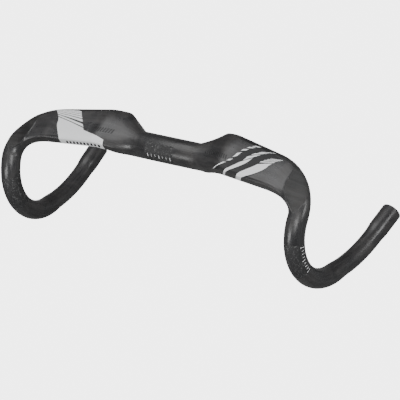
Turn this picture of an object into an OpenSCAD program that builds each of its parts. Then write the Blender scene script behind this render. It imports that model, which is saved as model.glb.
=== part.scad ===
// Drop handlebar for a road bicycle: a round stem seat, broad aerofoil tops and round drops.
// X runs along the stem seat (to the rider's left), +Y points back to the rider, +Z is up.
// The origin is the middle of the stem seat, on its axis.

/* [Stem seat] */
// Diameter of the ground seat for the stem clamp
seat_d = 31.8; // [25.4:0.1:35]
// Width of the ground seat
seat_w = 74; // [50:1:80]
// Width of the whole round middle
middle_w = 86; // [84:1:96]
// Wall of the round middle
seat_wall = 2.5; // [2:0.1:4]

/* [Wing tops] */
// Distance from the bar's middle to the back corner of a wing
corner_x = 71.5; // [68:0.5:90]
// How far the back corner stands behind the seat's axis
corner_y = 33.5; // [26:0.5:42]
// Width that a shoulder takes up, from the wing's end to the lever zone
shoulder_w = 51; // [44:1:80]
// Back edge at the shoulder's start
back_y = 16; // [10:0.5:24]
// Front edge beside the seat
front_root_y = -19.5; // [-26:0.5:-16.5]
// Front edge at the shoulder's start
front_y = -31.5; // [-38:0.5:-24]
// Height of the wing's middle over the seat's axis
rise = 16.5; // [8:0.5:22]
// Thickness of the wing
wing_t = 17.5; // [13:0.5:22]
// Wall of the wing skins and shoulders
skin = 1.6; // [1:0.1:2.4]

/* [Drops] */
// Distance between the two lever zones, centre to centre
hood_w = 422; // [380:1:460]
// Where the drop's tube starts, behind (+) or in front (-) of the axis
drop_y = -53.1; // [-70:0.5:-40]
// Height of the drop tube's start
drop_z = 1; // [-6:0.5:8]
// Tube diameter at the lever zone and at the end
tube_d = 23.8; // [22.2:0.1:26]
// Tube diameter at the waist in the lower hand position
waist_d = 21.9; // [21:0.1:23]
// Wall of the drop tube at its waist
tube_wall = 1.9; // [1.4:0.1:2.4]
// Bend radius of the hook, at the tube's centre
hook_r = 60; // [52:1:72]
// Angle that the tube has already dived where the hook starts
dive_start = 28.6; // [20:0.2:36]
// Angle that the hook turns through
hook_turn = 122.5; // [112:0.5:128]
// Bend radius of the lower hand position
waist_r = 169; // [120:1:240]
// Slope of the drop's straight end below level
end_slope = 8; // [0:0.5:12]
// Length of the taper from the hook's tube to the waist
taper_1 = 17.7; // [12:0.1:30]
// Length of the taper from the waist to the end's tube
taper_2 = 13.7; // [10:0.1:30]
// Length of the straight end
end_len = 27; // [26:1:60]
// Outward lean of the drops towards the bottom
flare = 1.2; // [0:0.1:10]
// Outward turn of the drops towards the rear
toe_out = 3.75; // [0:0.05:8]
// Diameter of the socket for a bar-end plug
plug_d = 19.8; // [17:0.1:20.6]
// Depth of the socket for a bar-end plug
plug_depth = 28; // [20:1:40]

/* [Joints] */
// Length of the tapered spigot at each end of the round middle
spigot_len = 9; // [6:0.5:12]
// Angle that a joint sleeve covers in the hook
sleeve_arc = 9; // [6:0.5:12]
// Length of a joint sleeve on the shoulder's side
sleeve_back = 5; // [3:0.5:6]
// Wall of a joint sleeve
sleeve_wall = 1.4; // [1:0.1:2]
// Gap filled with adhesive
glue = 0.1; // [0.05:0.05:0.2]

/* [Cables] */
// Outside diameter of a cable liner
liner_d = 5; // [4.5:0.1:5.6]
// Bore of a cable liner
liner_bore = 4; // [3.2:0.1:4.2]
// Rim diameter of a port grommet
grommet_d = 10; // [8:0.5:12]
// Diameter of the hole that a grommet sits in
port_d = 7.6; // [6.5:0.1:9]

/* [Surface details] */
// Thickness of a printed film
film_t = 0.15; // [0.1:0.05:0.3]
// Where the stem grip coat starts along X
grip_from = -26; // [-36:1:-10]
// Where the stem grip coat ends along X
grip_to = 15; // [10:1:36]
// Angle that the lever grip coat covers along the hook
lever_grip_arc = 38; // [20:1:50]
// Angle from the hook's start to the lever grip coat
lever_grip_from = 24; // [15:1:45]

/* [Hidden] */

carbon = [0.07, 0.07, 0.075];
coat = [0.16, 0.16, 0.16];
silver = [0.82, 0.83, 0.84];
rubber = [0.04, 0.04, 0.04];
liner_white = [0.75, 0.75, 0.72];

seat_r = seat_d / 2;
root_x = middle_w / 2;
relief = 0.3;
tube_r = tube_d / 2;
waist_r_tube = waist_d / 2;
bore_r = waist_r_tube - tube_wall;
drop_x = hood_w / 2;
bend_x = drop_x - shoulder_w;
fine = 96;

// ring_n is the number of points round a section, ramp_n, wing_n and bend_n the sections.
ring_n = 24;
ramp_n = 9;
wing_n = 5;
bend_n = 10;
film_lift = 0.03;
film_rows = 4;
film_ribs = 8;

function mix(a, b, t) = a + (b - a) * t;
function ease(t) = let (c = min(max(t, 0), 1)) c * c * (3 - 2 * c);
function unit(v) = v / norm(v);
function bezier(p, t) =
    pow(1 - t, 3) * p[0] + 3 * pow(1 - t, 2) * t * p[1] + 3 * (1 - t) * t * t * p[2] + pow(t, 3) * p[3];
function signed_pow(v, e) = sign(v) * pow(abs(v), e);

// ---- Wing: each section is [front point, back point, thickness, flatness, tilt, facets] ----
// Facets are shares from 0 to 1: how flat the top is, how flat the nose is, how deep the leaf is.

back_slope = (back_y - corner_y) / (bend_x - corner_x);
front_slope = (front_y - front_root_y) / (bend_x - root_x);
corner_soft = 1.2;
front_blend = 30;
flat_blend = 52;
rise_blend = 54;
thin_blend = 38.5;
// The flats fade in over [how far from the round middle, over what length], and fade out along the
// shoulder over the same two as shares of it.
top_blend = [39, 22];
nose_blend = [17, 22];
top_fade = [0.18, 0.5];
nose_fade = [0.16, 0.55];

// The back edge climbs the ramp beside the seat, rounds the corner and then sweeps forward.
function back_edge(x) =
    let (ramp = mix(seat_r, corner_y, (x - root_x) / (corner_x - root_x)),
         line = corner_y + back_slope * (x - corner_x))
    min(ramp, line) - corner_soft * ln(1 + exp(-abs(ramp - line) / corner_soft));

function front_edge(x) =
    mix(-seat_r, front_root_y + front_slope * (x - root_x), ease((x - root_x) / front_blend));

function wing_section(x) =
    let (z = rise * ease((x - root_x) / rise_blend))
    [[x, front_edge(x), z], [x, back_edge(x), z],
     mix(seat_d, wing_t, ease((x - root_x) / thin_blend)), ease((x - root_x) / flat_blend), 0,
     [top_flat * ease((x - root_x - top_blend[0]) / top_blend[1]),
      nose_flat * ease((x - root_x - nose_blend[0]) / nose_blend[1]), 0, 0, 0]];

// The shoulder's edges are two curves in plan, from the wing's end to the round tube's start,
// which they meet square to the drop's own plane.
back_handles = [35.5, 36];
front_handles = [21.5, 12.5];
shoulder_dive = 53.5;
drop_side = tube_r * [cos(toe_out), -sin(toe_out)];
drop_back = [sin(toe_out), cos(toe_out)];
drop_at = [drop_x, drop_y];
back_curve = [[bend_x, back_y], [bend_x + back_handles[0], back_y + back_slope * back_handles[0]],
              drop_at + drop_side + back_handles[1] * drop_back, drop_at + drop_side];
front_curve = [[bend_x, front_y], [bend_x + front_handles[0], front_y + front_slope * front_handles[0]],
               drop_at - drop_side + front_handles[1] * drop_back, drop_at - drop_side];

function shoulder_height(t) =
    rise * pow(1 - t, 2) * (1 + 2 * t) + drop_z * ease(t)
    + shoulder_dive * tan(dive_start) * t * t * (1 - t);

function shoulder_section(t) =
    let (f = bezier(front_curve, t), b = bezier(back_curve, t), z = shoulder_height(t),
         lean = tube_r * sin(flare) * ease(t), leaf = leaf_edges(t))
    [[f.x, f.y, z - lean], [b.x, b.y, z + lean], mix(wing_t, tube_d, t * t), 1 - ease(t),
     dive_start * t * t,
     [top_flat * (1 - ease((t - top_fade[0]) / top_fade[1])),
      nose_flat * (1 - ease((t - nose_fade[0]) / nose_fade[1])),
      leaf[0] > leaf[1] ? leaf_cut : 0, leaf[0], leaf[1]]];

// The leaf is a facet on the shoulder's top. Its two edges lie either side of a middle line, as far
// apart as a power of a half sine, so that it is pointed at both ends.
leaf_cut = 0.72;
leaf_from = 0.27;
leaf_to = 0.92;
leaf_middle_from = 40;
leaf_middle_to = 96;
leaf_half = 62;
leaf_point = 0.7;
function leaf_edges(t) =
    let (k = (t - leaf_from) / (leaf_to - leaf_from),
         middle = mix(leaf_middle_from, leaf_middle_to, sqrt(max(k, 0))),
         half = leaf_half * pow(max(sin(180 * k), 0), leaf_point))
    k <= 0 || k >= 1 ? [0, 0] : [middle + half, middle - half];

// A section's outline, with a fuller end at the nose, a thinner one at the tail, and flats.
nose_fullness = 0.35;
edge_square = 0.28;
top_flat = 0.7;
top_flat_arc = [46, 140];
nose_flat = 0.8;
nose_flat_arc = [156, 203];
function outline(a, flat) =
    [signed_pow(cos(a), 1 - edge_square * flat), sin(a) * (1 - nose_fullness * flat * cos(a))];
function flattened(a, flat, arc, share) =
    let (p = outline(a, flat), from = outline(arc[0], flat), to = outline(arc[1], flat))
    a <= arc[0] || a >= arc[1] ? p
    : mix(p, [p.x, mix(from.y, to.y, (p.x - from.x) / (to.x - from.x))], share);
function blunted(a, flat, arc, share) =
    a <= arc[0] || a >= arc[1] ? outline(a, flat)
    : mix(outline(a, flat),
          mix(outline(arc[0], flat), outline(arc[1], flat), (a - arc[0]) / (arc[1] - arc[0])), share);

function smooth_section_point(s, a, inset) =
    let (span = s[1] - s[0], across = unit(span),
         tilted = [0, -sin(s[4]), cos(s[4])],
         up = unit(tilted - (tilted * across) * across),
         p = a < nose_flat_arc[0] ? flattened(a, s[3], top_flat_arc, s[5][0])
             : blunted(a, s[3], nose_flat_arc, s[5][1]))
    (s[0] + s[1]) / 2 + p.x * (norm(span) / 2 - inset) * across + p.y * (s[2] / 2 - inset) * up;

// Inside the leaf, each arc is moved most of the way to the straight line between its edges.
function section_point(s, a, inset) =
    let (cut = s[5][2], high = s[5][3], low = s[5][4], p = smooth_section_point(s, a, inset))
    cut == 0 || a <= low || a >= high ? p
    : mix(p, mix(smooth_section_point(s, low, inset), smooth_section_point(s, high, inset),
                 (a - low) / (high - low)), cut);

function section_arc(s, from, to, n, inset) =
    [for (i = [0 : n]) section_point(s, mix(from, to, i / n), inset)];
function closed_ring(s, inset) =
    [for (j = [0 : ring_n - 1]) section_point(s, 360 * j / ring_n, inset)];

ramp_end = corner_x + 5;
ramp_sections = [for (i = [0 : ramp_n]) wing_section(mix(root_x, ramp_end, i / ramp_n))];
wing_sections = concat(ramp_sections,
    [for (i = [1 : wing_n]) wing_section(mix(ramp_end, bend_x, i / wing_n))]);
shoulder_sections = [for (i = [0 : bend_n]) shoulder_section(i / bend_n)];

function flat(list) = [for (row = list, p = row) p];

// A thin-walled body between two nets of points, open along its sides or closed into a tube.
module shell(outer, inner, closed = false) {
    n = len(outer);
    m = len(outer[0]);
    last = closed ? m - 1 : m - 2;
    function at(side, i, j) = side * n * m + i * m + j % m;
    function quad(a, b, c, d) = [[a, b, c], [a, c, d]];
    skins = [for (i = [0 : n - 2], j = [0 : last]) each concat(
        quad(at(0, i, j), at(0, i, j + 1), at(0, i + 1, j + 1), at(0, i + 1, j)),
        quad(at(1, i, j), at(1, i + 1, j), at(1, i + 1, j + 1), at(1, i, j + 1)))];
    ends = [for (j = [0 : last]) each concat(
        quad(at(0, 0, j), at(1, 0, j), at(1, 0, j + 1), at(0, 0, j + 1)),
        quad(at(0, n - 1, j), at(0, n - 1, j + 1), at(1, n - 1, j + 1), at(1, n - 1, j)))];
    sides = closed ? [] : [for (i = [0 : n - 2]) each concat(
        quad(at(0, i, 0), at(0, i + 1, 0), at(1, i + 1, 0), at(1, i, 0)),
        quad(at(0, i, m - 1), at(1, i, m - 1), at(1, i + 1, m - 1), at(0, i + 1, m - 1)))];
    polyhedron(points = concat(flat(outer), flat(inner)), faces = concat(skins, ends, sides));
}

module wing_half(from, to) {
    n = ring_n / 2;
    shell([for (s = wing_sections) section_arc(s, from, to, n, 0)],
          [for (s = wing_sections) section_arc(s, from, to, n, skin)]);
}

// ---- Places: side is +1 for the rider's left end (+X) and -1 for the other ----

module on_side(side) {
    if (side > 0) children();
    else mirror([1, 0, 0]) children();
}

// The drop's own plane: Y and Z as outside, with the tube's start at the origin.
module drop_plane() {
    translate([drop_x, drop_y, drop_z]) rotate([0, -flare, -toe_out]) children();
}

// Headings are measured from straight ahead (-Y) down towards -Z.
function heading(a) = [0, -cos(a), -sin(a)];
function bend_centre(p, a, r) = p + r * [0, sin(a), -cos(a)];
function bend_end(p, a, r, turn) = bend_centre(p, a, r) + r * [0, -sin(a + turn), cos(a + turn)];

hook_end_a = dive_start + hook_turn;
waist_turn = 180 - end_slope - hook_end_a;
p_hook = [0, 0, 0];
p_taper_1 = bend_end(p_hook, dive_start, hook_r, hook_turn);
p_waist = p_taper_1 + taper_1 * heading(hook_end_a);
p_taper_2 = bend_end(p_waist, hook_end_a, waist_r, waist_turn);
end_a = hook_end_a + waist_turn;
p_straight = p_taper_2 + taper_2 * heading(end_a);
p_tip = p_straight + end_len * heading(end_a);

module bend(p, a, r, turn) {
    translate(bend_centre(p, a, r)) rotate([180, -90, 0]) rotate([0, 0, a])
        rotate_extrude(angle = turn, $fn = 180) translate([r, 0]) children();
}

module along(p, a) {
    translate(p) rotate([90 + a, 0, 0]) children();
}

// ---- Pieces ----

module seat_shape() {
    rotate([0, 90, 0]) {
        cylinder(r = seat_r - relief, h = middle_w, center = true, $fn = fine);
        cylinder(r = seat_r, h = seat_w, center = true, $fn = fine);
    }
}

module round_middle() color(carbon) {
    spigot_taper = 2.6;
    spigot_wall = 1.8;
    end_land = 2;
    spigot_r = seat_r - skin - glue;
    spigot_tip_r = spigot_r - spigot_taper;
    difference() {
        union() {
            seat_shape();
            for (side = [-1, 1]) on_side(side) translate([root_x, 0, 0]) rotate([0, 90, 0])
                cylinder(r1 = spigot_r, r2 = spigot_tip_r, h = spigot_len, $fn = fine);
        }
        rotate([0, 90, 0]) {
            cylinder(r = seat_r - seat_wall, h = seat_w - 2 * end_land, center = true, $fn = fine);
            cylinder(r = spigot_tip_r - spigot_wall, h = middle_w + 3 * spigot_len, center = true,
                     $fn = fine);
        }
    }
}

// The ports' places and directions come from the skins, so the liner and grommets follow them.
stem_port_a = 240;
stem_port_tilt = 150;
stem_port_out = 17;
stem_port_x = root_x + stem_port_out;
stem_port_at = section_point(wing_section(stem_port_x), stem_port_a, 0);
lever_port_t = 0.72;
lever_port_a = 270;
lever_port_at = section_point(shoulder_section(lever_port_t), lever_port_a, 0);
port_depth = 9;

module at_stem_port() translate(stem_port_at) rotate([stem_port_tilt, 0, 0]) children();
module at_lever_port() translate(lever_port_at) rotate([180, 0, 0]) children();

module port_hole() {
    translate([0, 0, -port_depth / 2]) cylinder(d = port_d, h = port_depth, $fn = fine);
}

module wing_upper_skin() color(carbon) wing_half(0, 180);

module wing_lower_skin() color(carbon) difference() {
    wing_half(180, 360);
    at_stem_port() port_hole();
}

// The shoulder's wall thickens towards the joint, so that its bore nearly meets the sleeve.
sleeve_room = 0.35;
joint_wall = tube_r - bore_r - sleeve_room;
thick_from = 0.9;
function shoulder_wall(t) = mix(skin, joint_wall, ease(t / thick_from));

module shoulder() color(carbon) difference() {
    shell([for (i = [0 : bend_n]) closed_ring(shoulder_sections[i], 0)],
          [for (i = [0 : bend_n]) closed_ring(shoulder_sections[i], shoulder_wall(i / bend_n))],
          closed = true);
    at_lever_port() port_hole();
}

// The drop's sections: [centre, heading, radius]. The tapers are the steps between radii.
hook_n = 18;
waist_n = 3;
drop_sections = concat(
    [for (i = [0 : hook_n]) let (t = hook_turn * i / hook_n)
        [bend_end(p_hook, dive_start, hook_r, t), dive_start + t, tube_r]],
    [for (i = [0 : waist_n]) let (t = waist_turn * i / waist_n)
        [bend_end(p_waist, hook_end_a, waist_r, t), hook_end_a + t, waist_r_tube]],
    [[p_straight, end_a, tube_r], [p_tip, end_a, tube_r]]);

function drop_ring(s, r) =
    [for (j = [0 : ring_n - 1]) let (b = 360 * j / ring_n)
        s[0] + r * (cos(b) * [1, 0, 0] + sin(b) * [0, -sin(s[1]), cos(s[1])])];

module drop_tube() color(carbon) drop_plane() difference() {
    shell([for (s = drop_sections) drop_ring(s, s[2])],
          [for (s = drop_sections) drop_ring(s, bore_r)], closed = true);
    along(p_tip - plug_depth * heading(end_a), end_a)
        cylinder(d = plug_d, h = plug_depth + 1, $fn = fine);
}

module joint_sleeve() color(carbon) drop_plane() {
    back = bend_end(p_hook, dive_start, hook_r, -sleeve_back);
    bend(back, dive_start - sleeve_back, hook_r, sleeve_back + sleeve_arc) difference() {
        circle(r = bore_r - glue, $fn = fine);
        circle(r = bore_r - glue - sleeve_wall, $fn = fine);
    }
}

// The liner's middle line passes smoothly through a few points inside the wing.
liner_sink = 5;
liner_steps = 4;
liner_sides = 12;
function inside(s, across) = mix(s[0], s[1], across);
liner_points = [stem_port_at + liner_sink * [0, sin(stem_port_tilt), -cos(stem_port_tilt)],
                inside(wing_section(stem_port_x + 10), 0.22),
                inside(wing_section(stem_port_x + 30), 0.28),
                inside(wing_section(bend_x - 30), 0.36),
                inside(shoulder_section(0.3), 0.45),
                inside(shoulder_section(0.6), 0.5),
                lever_port_at + [0, 0, liner_sink]];

function smooth_point(p, i, t) =
    let (n = len(p) - 1, a = p[max(i - 1, 0)], b = p[i], c = p[min(i + 1, n)], d = p[min(i + 2, n)])
    (2 * b + t * (c - a) + t * t * (2 * a - 5 * b + 4 * c - d)
     + t * t * t * (3 * b - a - 3 * c + d)) / 2;

liner_runs = len(liner_points) - 1;
liner_path = concat([for (i = [0 : liner_runs - 1], k = [0 : liner_steps - 1])
    smooth_point(liner_points, i, k / liner_steps)], [liner_points[liner_runs]]);
liner_last = len(liner_path) - 1;

function liner_ring(i, d) =
    let (ahead = unit(liner_path[min(i + 1, liner_last)] - liner_path[max(i - 1, 0)]),
         side = unit(cross(ahead, [0, 1, 0])), up = cross(side, ahead))
    [for (j = [0 : liner_sides - 1]) let (a = -360 * j / liner_sides)
        liner_path[i] + d / 2 * (cos(a) * side + sin(a) * up)];

module cable_liner() color(liner_white)
    shell([for (i = [0 : liner_last]) liner_ring(i, liner_d)],
          [for (i = [0 : liner_last]) liner_ring(i, liner_bore)], closed = true);

module grommet() color(rubber) {
    rim_t = 0.9;
    rim_stand = 0.4;
    overlap = 0.1;
    reach = 3.2;
    difference() {
        union() {
            translate([0, 0, rim_stand]) cylinder(d = grommet_d, h = rim_t, $fn = fine);
            translate([0, 0, -reach]) cylinder(d = port_d - 2 * glue,
                                                h = reach + rim_stand + overlap, $fn = fine);
        }
        translate([0, 0, -reach - 1]) cylinder(d = liner_bore, h = reach + rim_t + 2, $fn = fine);
    }
}

module stem_port_grommet() at_stem_port() grommet();
module lever_port_grommet() at_lever_port() grommet();

// A ring sector between two radii, from one angle to another.
module sector(r_in, r_out, from, to) {
    steps = 8;
    reach = 1.6 * r_out;
    intersection() {
        difference() {
            circle(r = r_out, $fn = fine);
            circle(r = r_in, $fn = fine);
        }
        polygon(concat([[0, 0]],
            [for (i = [0 : steps]) let (a = mix(from, to, i / steps)) reach * [cos(a), sin(a)]]));
    }
}

// Sectors on the seat run along +X, with 0 degrees up and 90 degrees to the front.
module on_seat(x, w) translate([x, 0, 0]) rotate([0, -90, 180]) linear_extrude(w) children();

coat_t = 0.04;
coat_from_a = 11;
coat_to_a = 150;
module stem_grip_coat() color(coat) on_seat(grip_from, grip_to - grip_from)
    sector(seat_r, seat_r + coat_t, coat_from_a, coat_to_a);

scale_marks = 7;
scale_margin = 4;
scale_from_a = 62;
scale_short = 12;
scale_long = 16;
mark_wide = 1;
mark_slim = 0.5;
module stem_scale() color(silver) {
    pitch = (grip_to - grip_from - 2 * scale_margin) / (scale_marks - 1);
    for (i = [0 : scale_marks - 1])
        on_seat(grip_from + scale_margin + i * pitch, i % 3 == 0 ? mark_wide : mark_slim)
            sector(seat_r + coat_t, seat_r + 2 * coat_t,
                   scale_from_a, scale_from_a + (i % 3 == 0 ? scale_long : scale_short));
}

lever_coat_t = 0.12;
module lever_grip_coat() color(coat) drop_plane() {
    start_a = dive_start + lever_grip_from;
    start = bend_end(p_hook, dive_start, hook_r, lever_grip_from);
    bend(start, start_a, hook_r, lever_grip_arc) difference() {
        circle(r = tube_r + lever_coat_t, $fn = fine);
        circle(r = tube_r, $fn = fine);
    }
}

lever_marks = 9;
mark_arc = 0.6;
lever_margin = 3;
lever_mark_long = 16;
lever_mark_short = 9;
module lever_scale() color(silver) drop_plane() {
    step_a = (lever_grip_arc - 2 * lever_margin) / (lever_marks - 1);
    for (i = [0 : lever_marks - 1]) {
        turned = lever_grip_from + lever_margin + i * step_a;
        half = i % 4 == 0 ? lever_mark_long : lever_mark_short;
        bend(bend_end(p_hook, dive_start, hook_r, turned), dive_start + turned, hook_r, mark_arc)
            sector(tube_r + lever_coat_t, tube_r + 2 * lever_coat_t, -half, half);
    }
}

// ---- Printed films ----

// A place is 0 at the wing's back corner and 1 where the shoulder starts. An angle goes round the
// section, from 0 at the back edge, through 90 at the top, to film_front at the crease of the nose.
film_front = 155;
shoulder_rate = 0.885;
function section_at(place) =
    place <= 1 ? wing_section(mix(corner_x, bend_x, place))
    : shoulder_section((place - 1) * shoulder_rate);

module film(net) {
    nets = [for (lift = [film_lift + film_t, film_lift])
        [for (row = net) [for (p = row) section_point(section_at(p[0]), p[1], -lift)]]];
    shell(nets[1], nets[0]);
}

// A stripe's edge is [place at the nose, place at its end, angle at its end, sweep]: it leaves the
// nose nearly square, and the higher its sweep, the later it turns outwards.
function edge_place(edge, k) = [mix(edge[0], edge[1], pow(k, edge[3])), mix(film_front, edge[2], k)];
module stripe(inner, outer) {
    film([for (i = [0 : film_ribs]) let (p = edge_place(inner, i / film_ribs),
                                         q = edge_place(outer, i / film_ribs))
        [for (j = [0 : film_rows]) mix(p, q, j / film_rows)]]);
}

inner_stripe = [[0.15, 0.58, 47, 1.1], [0.16, 0.68, 39, 1.1]];
middle_stripe = [[0.35, 0.74, 60, 1.5], [0.38, 0.93, 37, 1.2]];
outer_stripe = [[0.56, 0.93, 69, 1.7], [0.64, 1.1, 56, 1]];

// The panel's inner edge has a corner low down and another at the step. Its outer edge eases out.
panel_back = [40, 22];
panel_corner = [0.09, 133];
panel_step = [0.45, 106];
panel_top = 0.71;
panel_out = [0.79, 1.11];
function panel_inner(a) = lookup(a, [[panel_back[0], panel_top], [panel_step[1], panel_step[0]],
                                     [panel_corner[1], panel_corner[0]]]);
function panel_outer(a) =
    mix(panel_out[0], panel_out[1], ease((film_front - a) / (film_front - panel_back[1])));
module panel() {
    film([for (i = [0 : 2 * film_ribs])
        let (a = mix(film_front, panel_back[0], i / (2 * film_ribs)),
             b = mix(film_front, panel_back[1], i / (2 * film_ribs)))
        [for (j = [0 : film_rows]) mix([panel_inner(a), a], [panel_outer(b), b], j / film_rows)]]);
}

module left_inner_stripe() color(silver) stripe(inner_stripe[0], inner_stripe[1]);
module left_middle_stripe() color(silver) stripe(middle_stripe[0], middle_stripe[1]);
module left_outer_stripe() color(silver) stripe(outer_stripe[0], outer_stripe[1]);
module right_wing_panel() color(silver) on_side(-1) panel();

module right_wing_upper_skin() on_side(-1) wing_upper_skin();
module right_wing_lower_skin() on_side(-1) wing_lower_skin();
module right_shoulder() on_side(-1) shoulder();
module right_drop_tube() on_side(-1) drop_tube();
module right_joint_sleeve() on_side(-1) joint_sleeve();
module right_cable_liner() on_side(-1) cable_liner();
module right_stem_port_grommet() on_side(-1) stem_port_grommet();
module right_lever_port_grommet() on_side(-1) lever_port_grommet();
module right_lever_grip_coat() on_side(-1) lever_grip_coat();
module right_lever_scale() on_side(-1) lever_scale();
module left_wing_upper_skin() on_side(1) wing_upper_skin();
module left_wing_lower_skin() on_side(1) wing_lower_skin();
module left_shoulder() on_side(1) shoulder();
module left_drop_tube() on_side(1) drop_tube();
module left_joint_sleeve() on_side(1) joint_sleeve();
module left_cable_liner() on_side(1) cable_liner();
module left_stem_port_grommet() on_side(1) stem_port_grommet();
module left_lever_port_grommet() on_side(1) lever_port_grommet();
module left_lever_grip_coat() on_side(1) lever_grip_coat();
module left_lever_scale() on_side(1) lever_scale();

round_middle();
right_wing_upper_skin();
right_wing_lower_skin();
right_shoulder();
right_drop_tube();
right_joint_sleeve();
right_cable_liner();
right_stem_port_grommet();
right_lever_port_grommet();
right_lever_grip_coat();
right_lever_scale();
left_wing_upper_skin();
left_wing_lower_skin();
left_shoulder();
left_drop_tube();
left_joint_sleeve();
left_cable_liner();
left_stem_port_grommet();
left_lever_port_grommet();
left_lever_grip_coat();
left_lever_scale();
stem_grip_coat();
stem_scale();
right_wing_panel();
left_inner_stripe();
left_middle_stripe();
left_outer_stripe();
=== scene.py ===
import math
import bpy
import numpy as np
from mathutils import Matrix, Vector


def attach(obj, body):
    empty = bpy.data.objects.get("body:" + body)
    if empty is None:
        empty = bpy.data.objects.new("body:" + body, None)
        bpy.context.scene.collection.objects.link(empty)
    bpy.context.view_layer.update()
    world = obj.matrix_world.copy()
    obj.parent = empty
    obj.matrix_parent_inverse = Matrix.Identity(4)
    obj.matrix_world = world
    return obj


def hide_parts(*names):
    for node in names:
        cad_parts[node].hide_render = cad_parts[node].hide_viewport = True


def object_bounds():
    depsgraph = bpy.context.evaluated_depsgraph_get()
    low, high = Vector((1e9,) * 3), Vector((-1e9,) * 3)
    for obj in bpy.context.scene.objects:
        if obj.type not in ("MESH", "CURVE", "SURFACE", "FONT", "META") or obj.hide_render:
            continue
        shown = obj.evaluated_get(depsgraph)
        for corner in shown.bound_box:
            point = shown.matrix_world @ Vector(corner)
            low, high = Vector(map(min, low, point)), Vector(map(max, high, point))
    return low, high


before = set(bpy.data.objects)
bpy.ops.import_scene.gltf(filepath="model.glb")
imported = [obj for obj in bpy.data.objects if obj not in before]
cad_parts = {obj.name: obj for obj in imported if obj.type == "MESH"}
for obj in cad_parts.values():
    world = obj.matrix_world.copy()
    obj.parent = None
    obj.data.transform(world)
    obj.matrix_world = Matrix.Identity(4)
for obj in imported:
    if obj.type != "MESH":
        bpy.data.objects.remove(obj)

cad_low, cad_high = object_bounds()

# Every length below is in millimetres and every angle in degrees. A mesh is made in metres.

# The round middle
SEAT_R = 15.9
SEAT_HALF = 37.0
RELIEF = 0.03            # how far the ends beside the seat stand below it
ROOT_X = 43.0            # where the wing starts
SKIN = 1.6               # wall of the wing and the round middle

# The wing in plan, from its root out to the bend where the shoulder starts
CORNER_X = 71.5
CORNER_Y = 33.5
CORNER_SOFT = 0.8
BEND_X = 160.0
BACK_Y = 16.0            # back edge at the bend
FRONT_ROOT_Y = -19.5
FRONT_Y = -31.5          # front edge at the bend
FRONT_BLEND = 30.0       # how far out the seat's front takes to become the front line
BACK_SLOPE = (BACK_Y - CORNER_Y) / (BEND_X - CORNER_X)
FRONT_SLOPE = (FRONT_Y - FRONT_ROOT_Y) / (BEND_X - ROOT_X)

# The wing's section
RISE = 16.5              # height of the wing over the seat, reached over RISE_LEN
RISE_LEN = 54.0
WING_T = 17.5            # thickness, reached over THIN_LEN
THIN_LEN = 38.5
FLATTEN_LEN = 52.0       # how far out the round section takes to become the flat one
SQUARE = 0.28            # how square the flat section is
SKEW = 0.35              # how much more of its thickness lies towards the nose
CREASE_TOP = 156.0
CREASE_LOW = 203.0
NOSE_FLAT = 0.8          # share of the nose's arc that is flattened between the creases
NOSE_IN = (60.0, 22.0)   # where the flat nose fades in, and over what length
NOSE_OUT = (176.0, 55.0)
TOP_FLAT = 0.7           # the same for the top, between the two angles of TOP_ARC
TOP_IN = (82.0, 22.0)
TOP_OUT = (178.0, 50.0)
TOP_ARC = (46.0, 140.0)

# The shoulder's plan curves: how far each handle reaches from its end of the curve
BACK_REACH = (35.5, 36.0)
FRONT_REACH = (21.5, 12.5)
SHOULDER_DIVE = 53.5     # its run in plan per unit of t where it meets the drop, at the slope DIVE

# The drop
DROP_X = 211.0
DROP_Y = -53.1
DROP_Z = 1.0
DIVE = 28.6              # how steeply the drop sets off
FLARE = 1.2
TOE_OUT = 3.75
TUBE_R = 11.9
WAIST_R = 10.95
BORE_R = 9.05
PLUG_R = 9.9
PLUG_DEPTH = 28.0
HOOK_R = 60.0
HOOK_TURN = 122.5
LOW_R = 169.0
END_SLOPE = 8.0
TAPER_1 = 17.7           # hook to waist
TAPER_2 = 13.7           # waist to straight end
END_LEN = 27.0
MOUTH_OUTSIDE = (0.12, 0.5)   # rounding of the end's last two rings, outside and in the bore
MOUTH_INSIDE = (0.1, 0.3)


def mix(a, b, t):
    """The value that lies share t of the way from a to b."""
    return a + (b - a) * t


def ease(t):
    """A smooth step: 3t^2 - 2t^3 between 0 and 1, flat outside."""
    c = np.clip(t, 0, 1)
    return c * c * (3 - 2 * c)


def sin(a):
    """The sine of an angle in degrees."""
    return np.sin(np.radians(a))


def cos(a):
    """The cosine of an angle in degrees."""
    return np.cos(np.radians(a))


def stack(x, y, z):
    """Points from their x, y and z, which are first spread to one shape."""
    return np.stack(np.broadcast_arrays(x, y, z), -1).astype(float)


def spread(*values):
    """The values as number arrays of one shape."""
    return np.broadcast_arrays(*(np.asarray(v, float) for v in values))


def unit(v):
    """Each vector divided by its length."""
    return v / np.linalg.norm(v, axis=-1, keepdims=True)


def bezier(p, t):
    """A cubic curve through p[0] and p[3] with handles p[1] and p[2]."""
    t = np.asarray(t)[..., None]
    p = np.array(p, float)
    return ((1 - t) ** 3 * p[0] + 3 * (1 - t) ** 2 * t * p[1]
            + 3 * (1 - t) * t * t * p[2] + t ** 3 * p[3])


# ---- The wing and shoulder, as sections from a front point to a back point ----

def back_edge(x):
    """The lower of a straight ramp up to the corner and a straight line forward from it, softened."""
    ramp = mix(SEAT_R, CORNER_Y, (x - ROOT_X) / (CORNER_X - ROOT_X))
    line = CORNER_Y + BACK_SLOPE * (x - CORNER_X)
    return np.minimum(ramp, line) - CORNER_SOFT * np.log1p(np.exp(-np.abs(ramp - line) / CORNER_SOFT))


def front_edge(x):
    """The seat's front, eased into a line that sweeps forward."""
    line = FRONT_ROOT_Y + FRONT_SLOPE * (x - ROOT_X)
    return mix(-SEAT_R, line, ease((x - ROOT_X) / FRONT_BLEND))


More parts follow.
